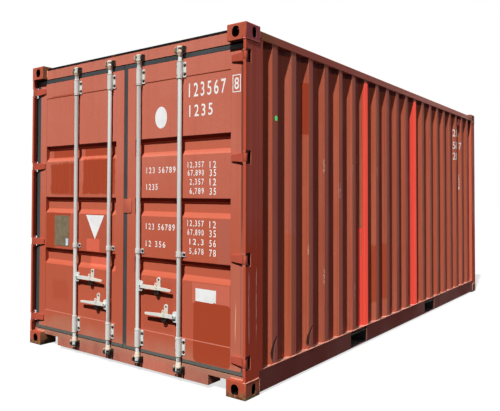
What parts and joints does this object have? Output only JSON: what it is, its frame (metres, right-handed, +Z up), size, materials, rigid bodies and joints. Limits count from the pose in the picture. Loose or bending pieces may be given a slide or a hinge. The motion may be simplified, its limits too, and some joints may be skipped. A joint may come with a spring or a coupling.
{
  "type": "shipping container",
  "caption": "Steel freight container with corrugated walls, corner castings, fork pockets and two hinged doors with lock rods and lift-out handles.",
  "frame": {"origin": "middle of the container's underside, at the level of the bottom castings' lower faces", "axes": "+Z up, +Y from the door end to the closed end, +X to the right as one stands in front of the doors"},
  "size_m": [2.438, 6.058, 2.591],
  "materials": {
    "frame_paint": "weathered matt paint",
    "wall_paint": "weathered matt paint",
    "door_paint": "weathered matt paint",
    "hardware_paint": "galvanized, worn",
    "hinge_steel": "worn",
    "gasket_rubber": "matt",
    "plate_metal": "tarnished",
    "floor_wood": "sealed plywood",
    "underframe_coat": "black underseal"
  },
  "bodies": {
    "root": {"top_corner_castings": "frame_paint", "bottom_corner_castings": "frame_paint", "rear_corner_posts": "frame_paint", "front_corner_posts": "frame_paint", "hinge_lugs": "frame_paint", "hinge_pins": "hinge_steel", "door_header": "frame_paint", "door_sill": "frame_paint", "cam_keepers": "hardware_paint", "top_side_rails": "frame_paint", "bottom_side_rails": "frame_paint", "front_top_rail": "frame_paint", "front_bottom_rail": "frame_paint", "left_side_wall": "wall_paint", "right_side_wall": "wall_paint", "front_wall": "wall_paint", "roof_sheet": "wall_paint", "roof_corner_plates": "wall_paint", "floor_boards": "floor_wood", "cross_members": "underframe_coat", "fork_pocket_plates": "underframe_coat", "side_vents": "wall_paint"},
    "left_door": {"left_door_frame": "door_paint", "left_door_panel": "door_paint", "left_door_gasket": "gasket_rubber", "left_hinge_blades": "door_paint", "left_rod_guides": "hardware_paint", "left_handle_retainers": "hardware_paint", "data_plate": "plate_metal"},
    "right_door": {"right_door_frame": "door_paint", "right_door_panel": "door_paint", "right_door_gasket": "gasket_rubber", "right_hinge_blades": "door_paint", "right_rod_guides": "hardware_paint", "right_handle_retainers": "hardware_paint", "overlap_plate": "door_paint"},
    "left_outer_rod": {"left_outer_lock_rod": "hardware_paint"},
    "left_outer_handle": {"left_outer_handle": "hardware_paint"},
    "left_inner_rod": {"left_inner_lock_rod": "hardware_paint"},
    "left_inner_handle": {"left_inner_handle": "hardware_paint"},
    "right_inner_rod": {"right_inner_lock_rod": "hardware_paint"},
    "right_inner_handle": {"right_inner_handle": "hardware_paint"},
    "right_outer_rod": {"right_outer_lock_rod": "hardware_paint"},
    "right_outer_handle": {"right_outer_handle": "hardware_paint"}
  },
  "joints": [
    {"name": "right_door_swing", "type": "hinge", "parent": "root", "child": "right_door", "pos_m": [1.203, -3.013, 0.17], "axis": [0, 0, 1], "range_deg": [0, 265]},
    {"name": "left_door_swing", "type": "hinge", "parent": "root", "child": "left_door", "pos_m": [-1.203, -3.013, 0.17], "axis": [0, 0, -1], "range_deg": [0, 265]},
    {"name": "left_outer_rod_turn", "type": "hinge", "parent": "left_door", "child": "left_outer_rod", "pos_m": [-0.6, -3.002, 0.675], "axis": [0, 0, 1], "range_deg": [-95, 0]},
    {"name": "left_outer_handle_lift", "type": "hinge", "parent": "left_outer_rod", "child": "left_outer_handle", "pos_m": [-0.56, -3.002, 0.675], "axis": [0, 1, 0], "range_deg": [-15, 0]},
    {"name": "left_inner_rod_turn", "type": "hinge", "parent": "left_door", "child": "left_inner_rod", "pos_m": [-0.17, -3.002, 0.476], "axis": [0, 0, -1], "range_deg": [-95, 0]},
    {"name": "left_inner_handle_lift", "type": "hinge", "parent": "left_inner_rod", "child": "left_inner_handle", "pos_m": [-0.21, -3.002, 0.476], "axis": [0, -1, 0], "range_deg": [-15, 0]},
    {"name": "right_inner_rod_turn", "type": "hinge", "parent": "right_door", "child": "right_inner_rod", "pos_m": [0.17, -3.002, 0.675], "axis": [0, 0, 1], "range_deg": [-95, 0]},
    {"name": "right_inner_handle_lift", "type": "hinge", "parent": "right_inner_rod", "child": "right_inner_handle", "pos_m": [0.21, -3.002, 0.675], "axis": [0, 1, 0], "range_deg": [-15, 0]},
    {"name": "right_outer_rod_turn", "type": "hinge", "parent": "right_door", "child": "right_outer_rod", "pos_m": [0.6, -3.002, 0.476], "axis": [0, 0, -1], "range_deg": [-95, 0]},
    {"name": "right_outer_handle_lift", "type": "hinge", "parent": "right_outer_rod", "child": "right_outer_handle", "pos_m": [0.56, -3.002, 0.476], "axis": [0, -1, 0], "range_deg": [-15, 0]}
  ]
}
